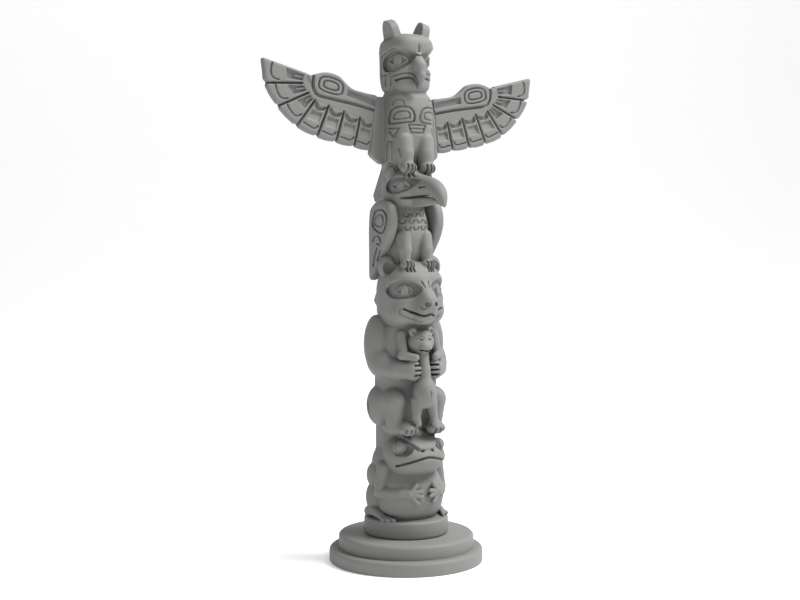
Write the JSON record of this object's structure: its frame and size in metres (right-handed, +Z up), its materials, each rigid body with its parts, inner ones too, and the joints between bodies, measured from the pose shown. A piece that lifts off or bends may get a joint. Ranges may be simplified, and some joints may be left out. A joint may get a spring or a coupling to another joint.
{
  "type": "totem pole",
  "caption": "Carved totem pole statuette on a stepped round plinth: frog, bear with cub, raven and spread-winged thunderbird, in plain grey cast resin.",
  "frame": {"origin": "centre of the plinth's flat underside", "axes": "+Z up the pole, -Y the way the figures face, X along the spread wings"},
  "size_m": [0.2008, 0.1, 0.3487],
  "materials": {
    "cast_grey": "solid cast stone-filled resin, uniform mid grey, matte, with soft carved edges",
    "plinth_grey": "the same mid grey cast resin, smooth and matte, with rounded rims"
  },
  "bodies": {
    "root": {"carved_pole": "cast_grey", "left_wing": "cast_grey", "right_wing": "cast_grey", "plinth": "plinth_grey"}
  },
  "joints": []
}
